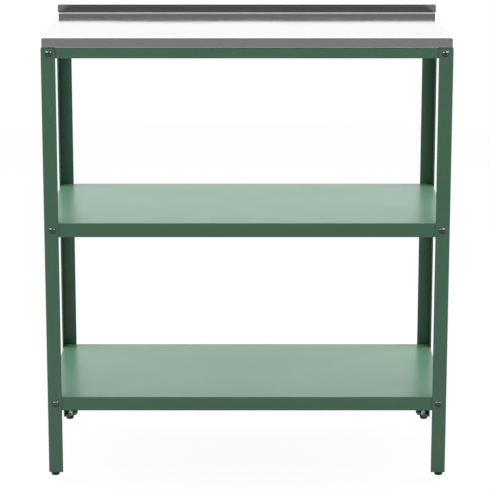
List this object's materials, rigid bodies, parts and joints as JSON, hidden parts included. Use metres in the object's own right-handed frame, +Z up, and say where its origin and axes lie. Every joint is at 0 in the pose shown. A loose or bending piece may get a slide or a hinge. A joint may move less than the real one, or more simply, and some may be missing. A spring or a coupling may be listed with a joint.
{
  "type": "potting bench",
  "caption": "Free-standing potting bench: stainless worktop with a low rear upstand on four green angle legs, with two folded tray shelves and screw-adjusted feet.",
  "frame": {"origin": "on the floor under the middle of the bench, feet screwed fully in", "axes": "+X to the bench's right as seen from the front, +Y from the front to the upstand at the rear, +Z up"},
  "size_m": [0.8, 0.4066, 0.909],
  "materials": {
    "green_powder_coat": "satin powder coat, moss green",
    "stainless_sheet": "bright cold-rolled stainless sheet",
    "black_screw": "glossy black coated steel screw",
    "zinc_plated_steel": "bright zinc plate",
    "black_nylon": "moulded nylon"
  },
  "bodies": {
    "bench_frame": {"foot_nut_front_left": "zinc_plated_steel", "foot_nut_front_right": "zinc_plated_steel", "foot_nut_rear_left": "zinc_plated_steel", "foot_nut_rear_right": "zinc_plated_steel", "foot_plate_front_left": "green_powder_coat", "foot_plate_front_right": "green_powder_coat", "foot_plate_rear_left": "green_powder_coat", "foot_plate_rear_right": "green_powder_coat", "leg_front_left": "green_powder_coat", "leg_front_right": "green_powder_coat", "leg_nuts_bottom": "zinc_plated_steel", "leg_nuts_middle": "zinc_plated_steel", "leg_nuts_top": "zinc_plated_steel", "leg_rear_left": "green_powder_coat", "leg_rear_right": "green_powder_coat", "leg_screws_bottom": "black_screw", "leg_screws_middle": "black_screw", "leg_screws_top": "black_screw", "rail_front": "green_powder_coat", "rail_left": "green_powder_coat", "rail_rear": "green_powder_coat", "rail_right": "green_powder_coat", "shelf_bottom": "green_powder_coat", "shelf_channel_bottom": "green_powder_coat", "shelf_channel_middle": "green_powder_coat", "shelf_middle": "green_powder_coat", "worktop": "stainless_sheet", "worktop_channel": "green_powder_coat", "worktop_screws": "zinc_plated_steel"},
    "foot_base_front_left": {"foot_base_front_left": "black_nylon"},
    "foot_stem_front_left": {"foot_stem_front_left": "zinc_plated_steel"},
    "foot_base_front_right": {"foot_base_front_right": "black_nylon"},
    "foot_stem_front_right": {"foot_stem_front_right": "zinc_plated_steel"},
    "foot_base_rear_left": {"foot_base_rear_left": "black_nylon"},
    "foot_stem_rear_left": {"foot_stem_rear_left": "zinc_plated_steel"},
    "foot_base_rear_right": {"foot_base_rear_right": "black_nylon"},
    "foot_stem_rear_right": {"foot_stem_rear_right": "zinc_plated_steel"}
  },
  "joints": [
    {"name": "foot_travel_front_left", "type": "slide", "parent": "bench_frame", "child": "foot_base_front_left", "axis": [0, 0, -1], "range_m": [0, 0.01]},
    {"name": "foot_turn_front_left", "type": "hinge", "parent": "foot_base_front_left", "child": "foot_stem_front_left", "pos_m": [-0.388, -0.188, 0.008], "axis": [0, 0, -1], "range_deg": [0, 3600]},
    {"name": "foot_travel_front_right", "type": "slide", "parent": "bench_frame", "child": "foot_base_front_right", "axis": [0, 0, -1], "range_m": [0, 0.01]},
    {"name": "foot_turn_front_right", "type": "hinge", "parent": "foot_base_front_right", "child": "foot_stem_front_right", "pos_m": [0.388, -0.188, 0.008], "axis": [0, 0, -1], "range_deg": [0, 3600]},
    {"name": "foot_travel_rear_left", "type": "slide", "parent": "bench_frame", "child": "foot_base_rear_left", "axis": [0, 0, -1], "range_m": [0, 0.01]},
    {"name": "foot_turn_rear_left", "type": "hinge", "parent": "foot_base_rear_left", "child": "foot_stem_rear_left", "pos_m": [-0.388, 0.188, 0.008], "axis": [0, 0, -1], "range_deg": [0, 3600]},
    {"name": "foot_travel_rear_right", "type": "slide", "parent": "bench_frame", "child": "foot_base_rear_right", "axis": [0, 0, -1], "range_m": [0, 0.01]},
    {"name": "foot_turn_rear_right", "type": "hinge", "parent": "foot_base_rear_right", "child": "foot_stem_rear_right", "pos_m": [0.388, 0.188, 0.008], "axis": [0, 0, -1], "range_deg": [0, 3600]}
  ],
  "couplings": [
    {"joint": "foot_turn_front_left", "follows": "foot_travel_front_left", "rad_per_m": 6283.2},
    {"joint": "foot_turn_front_right", "follows": "foot_travel_front_right", "rad_per_m": 6283.2},
    {"joint": "foot_turn_rear_left", "follows": "foot_travel_rear_left", "rad_per_m": 6283.2},
    {"joint": "foot_turn_rear_right", "follows": "foot_travel_rear_right", "rad_per_m": 6283.2}
  ]
}
